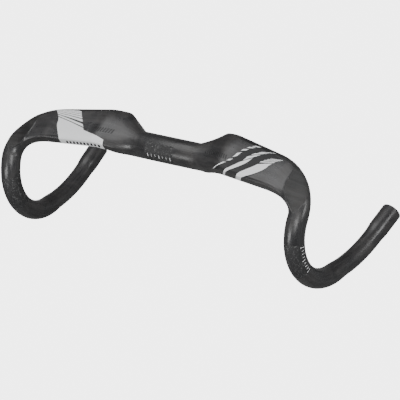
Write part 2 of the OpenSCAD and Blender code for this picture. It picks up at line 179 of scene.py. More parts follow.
# The shoulder ends square across the drop's own direction in plan.
DROP_AT = np.array([DROP_X, DROP_Y])
DROP_SIDE = TUBE_R * np.array([cos(TOE_OUT), -sin(TOE_OUT)])
DROP_BACK = np.array([sin(TOE_OUT), cos(TOE_OUT)])
BACK_CURVE = [[BEND_X, BACK_Y],
              [BEND_X + BACK_REACH[0], BACK_Y + BACK_SLOPE * BACK_REACH[0]],
              DROP_AT + DROP_SIDE + BACK_REACH[1] * DROP_BACK,
              DROP_AT + DROP_SIDE]
FRONT_CURVE = [[BEND_X, FRONT_Y],
               [BEND_X + FRONT_REACH[0], FRONT_Y + FRONT_SLOPE * FRONT_REACH[0]],
               DROP_AT - DROP_SIDE + FRONT_REACH[1] * DROP_BACK,
               DROP_AT - DROP_SIDE]


def section(s):
    """Front point, back point, thickness, flatness and tilt of the section at s.
    s is the distance out from the middle on the wing, and 160 + 100t along the shoulder."""
    s = np.asarray(s, float)
    wing = s <= BEND_X
    x, t = np.minimum(s, BEND_X), np.clip((s - BEND_X) / 100, 0, 1)
    f, b = bezier(FRONT_CURVE, t), bezier(BACK_CURVE, t)
    z = np.where(wing, RISE * ease((x - ROOT_X) / RISE_LEN),
                 RISE * (1 - t) ** 2 * (1 + 2 * t) + DROP_Z * ease(t)
                 + SHOULDER_DIVE * math.tan(math.radians(DIVE)) * t * t * (1 - t))
    lean = TUBE_R * sin(FLARE) * ease(t)
    front = stack(np.where(wing, x, f[..., 0]), np.where(wing, front_edge(x), f[..., 1]), z - lean)
    back = stack(np.where(wing, x, b[..., 0]), np.where(wing, back_edge(x), b[..., 1]), z + lean)
    wing_thick = mix(2 * SEAT_R, WING_T, ease((x - ROOT_X) / THIN_LEN))
    thick = np.where(wing, wing_thick, mix(WING_T, 2 * TUBE_R, t * t))
    flat = np.where(wing, ease((x - ROOT_X) / FLATTEN_LEN), 1 - ease(t))
    return front, back, thick, flat, DIVE * t * t


def outline(a, flat):
    """The section's own outline: u runs from -1 at the nose to 1 at the tail, v is its height.
    u is the cosine to the power 1 - SQUARE flat, and v is the sine times 1 - SKEW flat cos."""
    c = cos(a)
    return np.sign(c) * np.abs(c) ** (1 - SQUARE * flat), sin(a) * (1 - SKEW * flat * c)


def faded(s, fade_in, fade_out):
    """Rises from 0 to 1 as the section passes fade_in, and falls back as it passes fade_out. Each is
    a place and a length."""
    return ease((s - fade_in[0]) / fade_in[1]) * (1 - ease((s - fade_out[0]) / fade_out[1]))


def flattened(a, u, v, flat, low, high, share):
    """The outline with its arc between two angles moved share of the way to a straight line. The line
    is met at the same share of the distance across, so the arc's ends become soft corners."""
    ul, vl = outline(np.full_like(a, low), flat)
    uh, vh = outline(np.full_like(a, high), flat)
    k = (u - ul) / np.where(np.abs(uh - ul) < 1e-9, 1, uh - ul)
    inside = (a > low) & (a < high)
    return np.where(inside, mix(v, mix(vl, vh, k), share), v)


# The leaf-shaped facet on the shoulder
LEAF_CUT = 0.72          # how far the arc is moved to the straight line across the leaf
LEAF_FROM = 187.0
LEAF_TO = 252.0
LEAF_MIDDLE = (40.0, 96.0)
LEAF_HALF = 62.0
LEAF_POINT = 0.7
LEAF_HOLLOW = 0.12       # how much the facet's points gather towards its two edges
RIM_HIGH = 0.5           # height of the rim on the leaf's upper and lower edge
RIM_LOW = 0.2
RIM_WIDE = 4.5
RIM_IN = 8.0             # how far the rim takes to rise at the leaf's inner point
RIM_OUT = 6.0


def leaf_edges(s):
    """The leaf's inner and outer edge as angles: a middle line that rises as a square root, and a
    half-width that is a power of a half sine, so the leaf is pointed at both ends."""
    k = np.clip((s - LEAF_FROM) / (LEAF_TO - LEAF_FROM), 0, 1)
    middle = mix(*LEAF_MIDDLE, np.sqrt(k))
    half = LEAF_HALF * np.maximum(sin(180 * k), 0) ** LEAF_POINT
    return middle + half, middle - half


def smooth_point(s, a, inset=0.0):
    """The point of section s at angle a: 0 is the back edge, 90 the top, 180 the nose, 270 below.
    Between two creases the nose is nearly flat, and the top is flattened in the same way."""
    s, a, inset = spread(s, a, inset)
    front, back, thick, flat, tilt = section(s)
    u, v = outline(a, flat)
    ut, vt = outline(np.full_like(a, CREASE_TOP), flat)
    ul, vl = outline(np.full_like(a, CREASE_LOW), flat)
    k = np.clip((a - CREASE_TOP) / (CREASE_LOW - CREASE_TOP), 0, 1)
    fold = NOSE_FLAT * faded(s, NOSE_IN, NOSE_OUT) * (k > 0) * (k < 1)
    u, v = mix(u, mix(ut, ul, k), fold), mix(v, mix(vt, vl, k), fold)
    v = flattened(a, u, v, flat, *TOP_ARC, TOP_FLAT * faded(s, TOP_IN, TOP_OUT))
    span = back - front
    across = unit(span)
    up = stack(0, -sin(tilt), cos(tilt))
    up = unit(up - (up * across).sum(-1, keepdims=True) * across)
    half = np.linalg.norm(span, axis=-1) / 2
    return ((front + back) / 2 + (u * (half - inset))[..., None] * across
            + (v * (thick / 2 - inset))[..., None] * up)


def body_point(s, a, inset=0.0):
    """The smooth body with a leaf-shaped facet cut into the shoulder: between the leaf's two edges,
    each section's arc is moved most of the way to the straight line that joins them. A bell-shaped
    rim stands on each edge."""
    s, a, inset = spread(s, a, inset)
    p = smooth_point(s, a, inset)
    high, low = leaf_edges(s)
    k = (a - low) / np.maximum(high - low, 1e-6)
    inside = (k > 0) & (k < 1) & (s > LEAF_FROM) & (s < LEAF_TO)
    share = (k - LEAF_HOLLOW * np.sin(2 * np.pi * k))[..., None]
    chord = mix(smooth_point(s, low, inset), smooth_point(s, high, inset), share)
    p = np.where(inside[..., None], mix(p, chord, LEAF_CUT), p)
    rim = RIM_HIGH * np.exp(-((a - high) / RIM_WIDE) ** 2) + RIM_LOW * np.exp(-((a - low) / RIM_WIDE) ** 2)
    rim = rim * faded(s, (LEAF_FROM, RIM_IN), (LEAF_TO - RIM_OUT, RIM_OUT))
    front, back = section(s)[:2]
    return p + rim[..., None] * unit(p - (front + back) / 2)


# ---- The drop, a round tube carried along arcs and straights in its own leaning plane ----

def turned(p):
    """From the drop's own plane to the bar: lean out by FLARE, turn out by TOE_OUT, then move."""
    x = p[..., 0] * cos(-FLARE) + p[..., 2] * sin(-FLARE)
    z = -p[..., 0] * sin(-FLARE) + p[..., 2] * cos(-FLARE)
    return stack(x * cos(TOE_OUT) + p[..., 1] * sin(TOE_OUT) + DROP_X,
                 -x * sin(TOE_OUT) + p[..., 1] * cos(TOE_OUT) + DROP_Y, z + DROP_Z)


def heading(a):
    """The direction along the drop, in its own plane, where it slopes down by the angle a."""
    return stack(0, -cos(a), -sin(a))


HOOK_LEN = math.radians(HOOK_TURN) * HOOK_R
WAIST_DIVE = DIVE + HOOK_TURN
LOW_TURN = 180 - END_SLOPE - WAIST_DIVE
LOW_LEN = math.radians(LOW_TURN) * LOW_R
STOPS = np.cumsum([0, HOOK_LEN, TAPER_1, LOW_LEN, TAPER_2 + END_LEN])


def arc(from_a, to_a, r):
    """The way along an arc of radius r whose slope goes from one angle to another."""
    return stack(0, r * (sin(from_a) - sin(to_a)), r * (cos(to_a) - cos(from_a)))


def drop_line(d):
    """Centre and slope at the distance d along the drop, which is a hook arc, a straight, a long arc
    and a straight. The centre is the sum of how far it has gone along each of them."""
    d = np.asarray(d, float)
    hooked = np.degrees(np.clip(d, 0, STOPS[1]) / HOOK_R)
    turned_low = np.degrees(np.clip(d - STOPS[2], 0, LOW_LEN) / LOW_R)
    p = arc(DIVE, DIVE + hooked, HOOK_R) + arc(WAIST_DIVE, WAIST_DIVE + turned_low, LOW_R)
    p = p + np.clip(d - STOPS[1], 0, TAPER_1)[..., None] * heading(WAIST_DIVE)
    p = p + np.maximum(d - STOPS[3], 0)[..., None] * heading(180 - END_SLOPE)
    return p, DIVE + hooked + turned_low


def tube_radius(d):
    """The full radius at the hook and at the end, and a slimmer waist between the two tapers."""
    return mix(WAIST_R, TUBE_R, 1 - ease((d - STOPS[1]) / TAPER_1) + ease((d - STOPS[3]) / TAPER_2))


def drop_point(d, a, r):
    """A point at radius r round the drop's line: 0 is the outer side, 90 the outside of the hook."""
    c, h = drop_line(d)
    sideways, outwards = stack(1, 0, 0), stack(0, -sin(h), cos(h))
    return turned(c + (r * cos(a))[..., None] * sideways + (r * sin(a))[..., None] * outwards)


# ---- Meshes ----

def make(name, points, faces, material, node, uv=None, side=1):
    """A mesh object from points in millimetres. side -1 mirrors it across the bar's middle."""
    p = np.asarray(points, float) * [0.001 * side, 0.001, 0.001]
    faces = np.asarray(faces)[:, ::side]
    mesh = bpy.data.meshes.new(name)
    mesh.from_pydata(p.tolist(), [], faces.tolist())
    mesh.materials.append(material)
    if uv is not None:
        layer = mesh.uv_layers.new(name="fibre")
        layer.data.foreach_set("uv", (np.asarray(uv)[faces.ravel()] * 0.001).ravel())
    mesh.polygons.foreach_set("use_smooth", [True] * len(faces))
    mesh.validate()
    mesh.update()
    piece = bpy.data.objects.new(name, mesh)
    bpy.context.scene.collection.objects.link(piece)
    mesh.set_sharp_from_angle(angle=math.radians(38))
    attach(piece, "root")
    if node:
        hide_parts(node)
    return piece


def grid(n, m, first=0, wrap=False, flip=False):
    """Quads of an n by m net of points numbered row by row."""
    i, j = np.meshgrid(np.arange(n - 1), np.arange(m if wrap else m - 1), indexing="ij")
    k = (j + 1) % m
    q = np.stack([i * m + j, i * m + k, (i + 1) * m + k, (i + 1) * m + j], -1).reshape(-1, 4) + first
    return q[:, ::-1] if flip else q


def shell(outer, inner, wrap, uv):
    """A closed wall between two nets of the same size, with rims along its open edges."""
    n, m = outer.shape[:2]
    o = n * m
    faces = [grid(n, m, 0, wrap), grid(n, m, o, wrap, True)]
    j = np.arange(m if wrap else m - 1)
    k = (j + 1) % m
    last = (n - 1) * m
    faces.append(np.stack([j, o + j, o + k, k], -1))
    faces.append(np.stack([last + j, last + k, o + last + k, o + last + j], -1))
    if not wrap:
        i = np.arange(n - 1) * m
        faces.append(np.stack([i, i + m, o + i + m, o + i], -1))
        e = i + m - 1
        faces.append(np.stack([e, o + e, o + e + m, e + m], -1))
    points = np.concatenate([outer.reshape(-1, 3), inner.reshape(-1, 3)])
    return points, np.concatenate(faces), np.concatenate([uv.reshape(-1, 2)] * 2)


def fibre_uv(points):
    """Distance along the rows and distance round each row, so that fibres run along the piece."""
    along = np.linalg.norm(np.diff(points, axis=0), axis=-1).mean(1)
    along = np.concatenate([[0], np.cumsum(along)])
    round_ = np.linalg.norm(np.diff(points, axis=1), axis=-1).mean(0)
    round_ = np.concatenate([[0], np.cumsum(round_)])
    return np.stack(np.meshgrid(along, round_, indexing="ij"), -1)


CREASE_CLEAR = 2.4
CREASE_ROWS = np.array([-2.0, -0.9, 0, 0.9, 2.0])


def angles(low, high, n):
    """Angles evenly spaced from low to high, with five close rows in place of those about a crease."""
    a = np.linspace(low, high, n)
    for crease in (CREASE_TOP, CREASE_LOW):
        if low < crease < high:
            a = np.concatenate([a[np.abs(a - crease) > CREASE_CLEAR], crease + CREASE_ROWS])
    return np.sort(a)


# ---- Materials ----

def node(tree, kind, at=(0, 0), **values):
    """A shader node with its properties and, by number or name, its sockets set."""
    n = tree.nodes.new(kind)
    n.location = at
    for key, value in values.items():
        if hasattr(n, key):
            setattr(n, key, value)
        else:
            n.inputs[int(key[1:]) if key[0] == "i" and key[1:].isdigit() else key].default_value = value
    return n


def link(tree, a, out, b, inp):
    """Joins an output of one node to an input of another."""
    tree.links.new(a.outputs[out], b.inputs[inp])


def ramp(tree, stops, at=(0, 0)):
    """A colour ramp through stops of a place and a grey value or a colour."""
    n = tree.nodes.new("ShaderNodeValToRGB")
    n.location = at
    e = n.color_ramp.elements
    while len(e) < len(stops):
        e.new(0.5)
    for el, (place, value) in zip(e, stops):
        el.position = place
        el.color = value if isinstance(value, tuple) else (value, value, value, 1)
    return n


def group(name, inputs, outputs):
    """An empty node group with float or vector sockets, and its input and output nodes."""
    g = bpy.data.node_groups.new(name, "ShaderNodeTree")
    for socket, kind, default in inputs:
        made = g.interface.new_socket(name=socket, in_out="INPUT", socket_type=kind)
        if default is not None:
            made.default_value = default
    for socket, kind in outputs:
        g.interface.new_socket(name=socket, in_out="OUTPUT", socket_type=kind)
    return g, node(g, "NodeGroupInput", (-900, 0)), node(g, "NodeGroupOutput", (900, 0))


def math_node(g, op, a, b, at):
    """A Math node whose two inputs are each a number or a node with its output."""
    n = node(g, "ShaderNodeMath", at, operation=op)
    for i, v in enumerate((a, b)):
        if isinstance(v, tuple):
            link(g, v[0], v[1], n, i)
        else:
            n.inputs[i].default_value = v
    return n


def fibre_group():
    """Straight carbon fibres under lacquer: fine streaks along the piece, wider tow bands,
    and soft clouds where the resin is thicker. Fibre is the streaks and Cloud the clouds."""
    inputs = [("Fibre place", "NodeSocketVector", None), ("Place", "NodeSocketVector", None)]
    outputs = [("Fibre", "NodeSocketFloat"), ("Cloud", "NodeSocketFloat")]
    g, i, o = group("straight_fibre", inputs, outputs)
    fine = node(g, "ShaderNodeMapping", (-700, 200))
    fine.inputs["Scale"].default_value = (60, 2600, 1)
    link(g, i, 0, fine, "Vector")
    streak = node(g, "ShaderNodeTexNoise", (-500, 200), Scale=1.0, Detail=2.0, Roughness=0.6)
    link(g, fine, 0, streak, "Vector")
    wide = node(g, "ShaderNodeMapping", (-700, -50))
    wide.inputs["Scale"].default_value = (14, 220, 1)
    link(g, i, 0, wide, "Vector")
    tow = node(g, "ShaderNodeTexNoise", (-500, -50), Scale=1.0, Detail=3.0, Roughness=0.55)
    link(g, wide, 0, tow, "Vector")
    both = math_node(g, "MULTIPLY_ADD", (streak, 0), 0.45, (-300, 150))
    half = math_node(g, "MULTIPLY", (tow, 0), 0.55, (-300, -50))
    link(g, half, 0, both, 2)
    link(g, both, 0, o, 0)
    cloud = node(g, "ShaderNodeTexNoise", (-500, -300), Scale=38.0, Detail=5.0, Roughness=0.62,
                 Distortion=0.9)
    link(g, i, 1, cloud, "Vector")
    soft = ramp(g, [(0.42, 0.0), (0.72, 1.0)], (-300, -300))
    link(g, cloud, 0, soft, 0)
    link(g, soft, 0, o, 1)
    return g


def wear_group():
    """Light handling marks: short fine scratches in two directions and a thin dust of specks."""
    inputs = [("Place", "NodeSocketVector", None), ("Amount", "NodeSocketFloat", 0.5)]
    g, i, o = group("handling_marks", inputs, [("Marks", "NodeSocketFloat")])
    parts = []
    for turn, y in ((0.4, 250), (-0.9, 0)):
        m = node(g, "ShaderNodeMapping", (-700, y))
        m.inputs["Rotation"].default_value = (turn, 0.3 * turn, turn)
        m.inputs["Scale"].default_value = (40, 900, 700)
        link(g, i, 0, m, "Vector")
        n = node(g, "ShaderNodeTexNoise", (-500, y), Scale=1.0, Detail=1.0)
        link(g, m, 0, n, "Vector")
        r = ramp(g, [(0.70, 0.0), (0.78, 1.0)], (-300, y))
        link(g, n, 0, r, 0)
        parts.append(r)
    specks = node(g, "ShaderNodeTexNoise", (-500, -250), Scale=900.0, Detail=1.0)
    link(g, i, 0, specks, "Vector")
    r = ramp(g, [(0.72, 0.0), (0.80, 1.0)], (-300, -250))
    link(g, specks, 0, r, 0)
    a = math_node(g, "MAXIMUM", (parts[0], 0), (parts[1], 0), (0, 150))
    b = math_node(g, "MAXIMUM", (a, 0), (r, 0), (200, 0))
    c = math_node(g, "MULTIPLY", (b, 0), (i, 1), (400, 0))
    link(g, c, 0, o, 0)
    return g


FIBRE, MARKS = fibre_group(), wear_group()


def surface(name, **values):
    """A material with a Principled shader whose plain values are set on its own sockets."""
    m = bpy.data.materials.new(name)
    m.use_nodes = True
    t = m.node_tree
    shader = t.nodes["Principled BSDF"]
    for key, value in values.items():
        shader.inputs[key.replace("_", " ")].default_value = value
    place = node(t, "ShaderNodeTexCoord", (-1200, 0))
    return m, t, shader, place


def carbon(name, dark, light, rough, cloud_rough, bump=0.25, uv=True):
    """Black carbon under satin lacquer: the colour and roughness vary with fibre, cloud and marks."""
    m, t, shader, place = surface(name, Specular_IOR_Level=0.5, Coat_Weight=0.0)
    f = node(t, "ShaderNodeGroup", (-950, 0), node_tree=FIBRE)
    if uv:
        u = node(t, "ShaderNodeUVMap", (-1200, -250), uv_map="fibre")
        link(t, u, 0, f, 0)
    else:
        link(t, place, "Object", f, 0)
    link(t, place, "Object", f, 1)
    w = node(t, "ShaderNodeGroup", (-950, -300), node_tree=MARKS)
    w.inputs["Amount"].default_value = 0.6
    link(t, place, "Object", w, 0)
    tone = ramp(t, [(0.30, (*dark, 1)), (0.72, (*light, 1))], (-700, 100))
    link(t, f, "Fibre", tone, 0)
    warm = node(t, "ShaderNodeMix", (-400, 150), data_type="RGBA", blend_type="ADD")
    link(t, f, "Cloud", warm, "Factor")
    t.links.new(tone.outputs[0], warm.inputs[6])
    warm.inputs[7].default_value = (0.018, 0.016, 0.014, 1)
    t.links.new(warm.outputs[2], shader.inputs["Base Color"])
    r = math_node(t, "MULTIPLY_ADD", (f, "Cloud"), cloud_rough, (-400, -100))
    r.inputs[2].default_value = rough
    r2 = math_node(t, "MULTIPLY_ADD", (w, 0), 0.12, (-200, -100))
    link(t, r, 0, r2, 2)
    link(t, r2, 0, shader, "Roughness")
    b = node(t, "ShaderNodeBump", (-200, -300), Strength=bump, Distance=0.00004)
    link(t, f, "Fibre", b, "Height")
    link(t, b, 0, shader, "Normal")
    return m


def grit(name, base, spark, rough):
    """Grip coat: a matt paint with sharp sand in it, which stands up as small bumps; a few grains carry a
    light colour, a painted glint.
    """
    m, t, shader, place = surface(name, Specular_IOR_Level=0.5)
    sand = node(t, "ShaderNodeTexVoronoi", (-900, 0), Scale=1500.0)
    link(t, place, "Object", sand, "Vector")
    patch = node(t, "ShaderNodeTexNoise", (-900, -300), Scale=260.0, Detail=3.0)
    link(t, place, "Object", patch, "Vector")
    pick = node(t, "ShaderNodeSeparateColor", (-700, 0))
    link(t, sand, "Color", pick, 0)
    few = ramp(t, [(0.80, 0.0), (0.90, 1.0)], (-500, 0))
    link(t, pick, 0, few, 0)
    where = ramp(t, [(0.42, 0.15), (0.62, 1.0)], (-700, -300))
    link(t, patch, 0, where, 0)
    f = math_node(t, "MULTIPLY", (few, 0), (where, 0), (-300, 0))
    # The light spark colour on a few grains is a painted glint on the sand.
    c = node(t, "ShaderNodeMix", (-100, 100), data_type="RGBA")
    link(t, f, 0, c, 0)
    c.inputs[6].default_value = (*base, 1)
    c.inputs[7].default_value = (*spark, 1)
    t.links.new(c.outputs[2], shader.inputs["Base Color"])
    r = math_node(t, "MULTIPLY_ADD", (patch, 0), 0.2, (-300, -200))
    r.inputs[2].default_value = rough
    link(t, r, 0, shader, "Roughness")
    b = node(t, "ShaderNodeBump", (-200, -350), Strength=0.5, Distance=0.00006)
    link(t, pick, 0, b, "Height")
    link(t, b, 0, shader, "Normal")
    return m


def print_film(name, base, rough, metal):
    """Printed film: an even satin colour, with fine grain and light handling marks."""
    m, t, shader, place = surface(name, Metallic=metal)
    n = node(t, "ShaderNodeTexNoise", (-900, 0), Scale=1400.0, Detail=2.0)
    link(t, place, "Object", n, "Vector")
    low = tuple(v * 0.9 for v in base)
    c = ramp(t, [(0.3, (*low, 1)), (0.7, (*base, 1))], (-600, 100))
    link(t, n, 0, c, 0)
    w = node(t, "ShaderNodeGroup", (-900, -300), node_tree=MARKS)
    w.inputs["Amount"].default_value = 0.5
    link(t, place, "Object", w, 0)
    worn = node(t, "ShaderNodeMix", (-300, 100), data_type="RGBA")
    link(t, w, 0, worn, 0)
    t.links.new(c.outputs[0], worn.inputs[6])
    worn.inputs[7].default_value = tuple(v * 0.72 for v in base) + (1,)
    t.links.new(worn.outputs[2], shader.inputs["Base Color"])
    r = math_node(t, "MULTIPLY_ADD", (n, 0), 0.15, (-600, -150))
    r.inputs[2].default_value = rough
    link(t, r, 0, shader, "Roughness")
    return m


def moulded(name, base, rough):
    """Moulded rubber or plastic: a fine mottled skin with a slight sheen change."""
    m, t, shader, place = surface(name)
    n = node(t, "ShaderNodeTexNoise", (-900, 0), Scale=700.0, Detail=4.0)
    link(t, place, "Object", n, "Vector")
    c = ramp(t, [(0.35, (*[v * 0.8 for v in base], 1)), (0.65, (*base, 1))], (-600, 100))
    link(t, n, 0, c, 0)
    t.links.new(c.outputs[0], shader.inputs["Base Color"])
    r = math_node(t, "MULTIPLY_ADD", (n, 0), 0.2, (-600, -150))
    r.inputs[2].default_value = rough
    link(t, r, 0, shader, "Roughness")
    b = node(t, "ShaderNodeBump", (-300, -300), Strength=0.2, Distance=0.00003)
    link(t, n, 0, b, "Height")
    link(t, b, 0, shader, "Normal")
    return m


satin_carbon = carbon("satin_carbon", (0.010, 0.010, 0.011), (0.052, 0.052, 0.054), 0.27, 0.16)
raw_carbon = carbon("raw_carbon", (0.010, 0.010, 0.010), (0.030, 0.030, 0.030), 0.55, 0.10, 0.4, False)
# The leaf's carbon is darker than the satin carbon: painted shade for the leaf facet's tilt away from the
# light.
leaf_shade_carbon = carbon("leaf_shade_carbon", (0.002, 0.002, 0.002), (0.034, 0.034, 0.035), 0.50, 0.16, 0.4, False)
silver_print = print_film("silver_print", (0.86, 0.87, 0.88), 0.42, 0.0)
dark_print = print_film("dark_print", (0.010, 0.010, 0.011), 0.45, 0.0)
grip_paint = grit("grip_paint", (0.022, 0.022, 0.023), (0.16, 0.16, 0.16), 0.5)
black_rubber = moulded("black_rubber", (0.018, 0.018, 0.018), 0.55)
liner_plastic = moulded("liner_plastic", (0.62, 0.62, 0.58), 0.4)


# ---- Bar pieces ----

SEAT_WALL = 2.5
SEAT_EDGE = 0.15         # length of the step from the seat down to its relief
SEAT_ROUND = 100.0       # way round the seat, for the scale of the fibres
BORE_STEP = 2.0          # how far inside the seat's end the bore narrows
SPIGOT_FIT = 0.1         # gap between the spigot's root and the wing's wall
SPIGOT_LEN = 9.0
SPIGOT_DROP = 2.6        # how far the spigot's tip stands below the wing's wall
SPIGOT_ROUND = 0.4
SPIGOT_WALL = 1.9


def seat_profile():
    """Half of the round middle's closed profile, as (x, radius): out over the seat, the relief and
    the spigot, and back through the bore."""
    tip, end = SEAT_R - SKIN - SPIGOT_DROP, ROOT_X + SPIGOT_LEN
    return [(SEAT_HALF, SEAT_R),
            (SEAT_HALF + SEAT_EDGE, SEAT_R - RELIEF),
            (ROOT_X, SEAT_R - RELIEF),
            (ROOT_X, SEAT_R - SKIN - SPIGOT_FIT),
            (end - SPIGOT_ROUND, tip),
            (end, tip - SPIGOT_ROUND),
            (end, tip - SPIGOT_WALL),
            (SEAT_HALF - BORE_STEP, tip - SPIGOT_WALL),
            (SEAT_HALF - BORE_STEP, SEAT_R - SEAT_WALL)]


def round_middle():
    """The profile and its mirror image, joined end to end and turned about X."""
    half = seat_profile()
    loop = np.array(half + [(-x, r) for x, r in half[::-1]])
    a = np.linspace(0, 360, 145)[:-1]
    net = stack(loop[:, :1], -loop[:, 1:] * sin(a), loop[:, 1:] * cos(a))
    n, m = net.shape[:2]
    faces = grid(n + 1, m, 0, True) % (n * m)
    uv = np.stack([net[..., 0], np.broadcast_to(np.linspace(0, SEAT_ROUND, m), (n, m))], -1)
    make("round_middle_tube", net.reshape(-1, 3), faces, satin_carbon, "round_middle",
         uv.reshape(-1, 2))


round_middle()


def wall_piece(name, s, a, wrap, material, node_name, side, wall=SKIN):
    """A wall between the body's surface and the same surface moved in by the wall's thickness."""
    outer = body_point(s[:, None], a[None, :])
    inner = body_point(s[:, None], a[None, :], wall)
    p, f, t = shell(outer, inner, wrap, fibre_uv(outer))
    return make(name, p, f, material, node_name, t, side=side)


THINNER = 0.35           # how much thinner than the drop's wall the shoulder's wall ends
END_WALL = TUBE_R - BORE_R - THINNER
WALL_LEN = 90.0
MOUTH_LEN = 0.5          # how far from the end its rounding starts
MOUTH_LIP = 0.15
SOCKET_STEP = 0.6        # length of the step from the bore to the plug's socket
wing_s = np.concatenate([np.linspace(ROOT_X, 80, 60), np.linspace(80, BEND_X, 71)[1:]])
shoulder_s = np.linspace(BEND_X, 260, 150)
shoulder_wall = mix(SKIN, END_WALL, ease((shoulder_s - BEND_X) / WALL_LEN))[:, None]
drop_d = np.concatenate([np.linspace(0, STOPS[4] - MOUTH_LEN, 230), [STOPS[4] - MOUTH_LIP, STOPS[4]]])
round_a = np.linspace(0, 360, 97)[:-1]


def drop_shell(side, name, node_name):
    """The drop's tube wall, with the plug's socket as a wider bore and a slightly rounded mouth."""
    d = drop_d[:, None]
    plain = [0] * (len(drop_d) - 2)
    r = tube_radius(d) - np.array([*plain, *MOUTH_OUTSIDE])[:, None]
    socket = ease((d - (STOPS[4] - PLUG_DEPTH)) / SOCKET_STEP)
    b = mix(BORE_R, PLUG_R, socket) + np.array([*plain, *MOUTH_INSIDE])[:, None]
    outer, inner = drop_point(d, round_a[None, :], r), drop_point(d, round_a[None, :], b)
    p, f, t = shell(outer, inner, True, fibre_uv(outer))
    return make(name, p, f, satin_carbon, node_name, t, side=side)


for side, hand in ((1, "left"), (-1, "right")):
    wall_piece(hand + "_wing_top", wing_s, angles(0, 180, 100), False, satin_carbon,
               hand + "_wing_upper_skin", side)
    wall_piece(hand + "_wing_underside", wing_s, angles(180, 360, 90), False, satin_carbon,
               hand + "_wing_lower_skin", side)
    wall_piece(hand + "_shoulder_shell", shoulder_s, angles(0, 358, 180), True, satin_carbon,
               hand + "_shoulder", side, shoulder_wall)
    drop_shell(side, hand + "_drop", hand + "_drop_tube")

# ---- Prints: thin films laid on the same surfaces ----

# A print's net holds (section, angle) places. NOSE is the crease above the nose, and UNDER is how far
# inwards, in mm for each degree, an edge runs on below it. TUCK is how many degrees of arc below the
# crease the stripes run on.
NOSE = 155.0
UNDER = 0.12
TUCK = 41.0
FILM_SINK = 0.15         # how far a film's closed skin reaches into the surface
PLAN_POWER = 1 - SQUARE
NOSE_SLOPE = math.radians(1) * PLAN_POWER * abs(cos(NOSE)) ** -SQUARE * sin(NOSE)


def plan_of(a):
    """Where an angle lies across the section in plan: 1 at the back, 0 on top, and below the nose's
    crease a straight run on at the same slope. It is the flat outline's own power of the cosine."""
    c = cos(np.minimum(a, NOSE))
    return np.sign(c) * np.abs(c) ** PLAN_POWER - NOSE_SLOPE * np.maximum(np.asarray(a) - NOSE, 0)


def angle_of(w):
    """The angle at a place across the section: plan_of turned round."""
    edge = plan_of(NOSE)
    top = np.maximum(w, edge)
    a = np.degrees(np.arccos(np.clip(np.sign(top) * np.abs(top) ** (1 / PLAN_POWER), -1, 1)))
    return a + np.maximum(edge - w, 0) / NOSE_SLOPE


def between(inner, outer, cols):
    """A net between two edges of (section, angle) places, with straight lines across it in plan."""
    c = np.linspace(0, 1, cols)[None, :]
    return np.stack([mix(inner[:, :1], outer[:, :1], c),
                     angle_of(mix(plan_of(inner[:, 1:]), plan_of(outer[:, 1:]), c))], -1)


def strip(corners, rows, cols):
    """A net between the corners [[s_in, a_in, s_out, a_out] at the start, the same at the end]."""
    c = np.array(corners, float)
    rib = mix(c[0], c[1], np.linspace(0, 1, rows)[:, None])
    return mix(rib[:, None, :2], rib[:, None, 2:], np.linspace(0, 1, cols)[None, :, None])


def edge_at(edge, k):
    """A stripe's edge [section at the nose, section at its end, angle at its end, sweep] at share k of
    its way: it grows outwards as the power sweep of k, and a negative k is below the nose."""
    start, end, back, sweep = edge
    a = mix(NOSE, back, k)
    s = mix(start, end, np.maximum(k, 0) ** sweep) - UNDER * np.maximum(a - NOSE, 0)
    return np.stack([s, a], -1)


def stripe_net(inner, outer, low, high, rows=40, cols=14):
    """The part of a stripe between two shares of its way."""
    k = np.linspace(low, high, rows)
    return between(edge_at(inner, k), edge_at(outer, k), cols)


def print_piece(name, nets, lift, material, side, node_name=None, base=body_point):
    """Films on the bar's surface, each a closed skin that stands lift above it and sinks under it."""
    points, faces, count = [], [], 0
    for net in nets:
        s, a = net[..., 0], net[..., 1]
        up, low = base(s, a, -lift), base(s, a, FILM_SINK)
        turn = np.cross(up[1, 0] - up[0, 0], up[0, 1] - up[0, 0]) @ (up[0, 0] - low[0, 0]) > 0
        p, f, _ = shell(up, low, False, np.zeros(s.shape + (2,)))
        faces.append((f[:, ::-1] if turn else f) + count)
        points.append(p)
        count += len(p)
    return make(name, np.concatenate(points), np.concatenate(faces), material, node_name, side=side)


# Each stripe has an inner and an outer edge, is whole up to the share solid, and then breaks into
# dashes that are evenly spaced and fill the given share of their spacing.
STRIPES = {
    "left_inner_stripe": dict(edges=((84.5, 123, 47, 1.1), (85.5, 132, 39, 1.1)), tuck=0.0, solid=0.36,
                              dashes=5, fill=0.5),
    "left_middle_stripe": dict(edges=((102, 137, 60, 1.5), (105, 154, 37, 1.2)), tuck=TUCK, solid=0.58,
                               dashes=3, fill=0.6),
    "left_outer_stripe": dict(edges=((121, 154, 69, 1.7), (128.5, 169, 56, 1.0)), tuck=TUCK, solid=0.74,
                              dashes=4, fill=0.55)}
for name, stripe in STRIPES.items():
    inner, outer = stripe["edges"]
    pitch = (1 - stripe["solid"]) / stripe["dashes"]
    nets = [stripe_net(inner, outer, -stripe["tuck"] / (NOSE - inner[2]), stripe["solid"], 80)]
    for i in range(stripe["dashes"]):
        end = stripe["solid"] + (i + 1) * pitch
        nets.append(stripe_net(inner, outer, end - stripe["fill"] * pitch, end, 12))
    print_piece(name.replace("stripe", "stripe_film"), nets, 0.16, silver_print, 1, name)

# The panel: its inner edge runs straight to a low corner, then to a step, then to its top. Its outer
# edge eases outwards. Thin lines cross it, each a little higher than the last.
PANEL_CORNER = (80.0, 133.0)
PANEL_STEP = (112.0, 106.0)
PANEL_TOP = (134.0, 40.0)
PANEL_OUT = (141.0, 170.0)
PANEL_END = 20.0
PANEL_TUCK = 204.0
PANEL_LINES = 6
LINE_IN = (100.0, 48.0)    # angles of the first and the last line at the inner edge
LINE_OUT = (78.0, 24.0)    # the same at the outer edge
LINE_WIDE = 3.0
LINE_THIN = 0.4            # share of its width that a line loses by the top


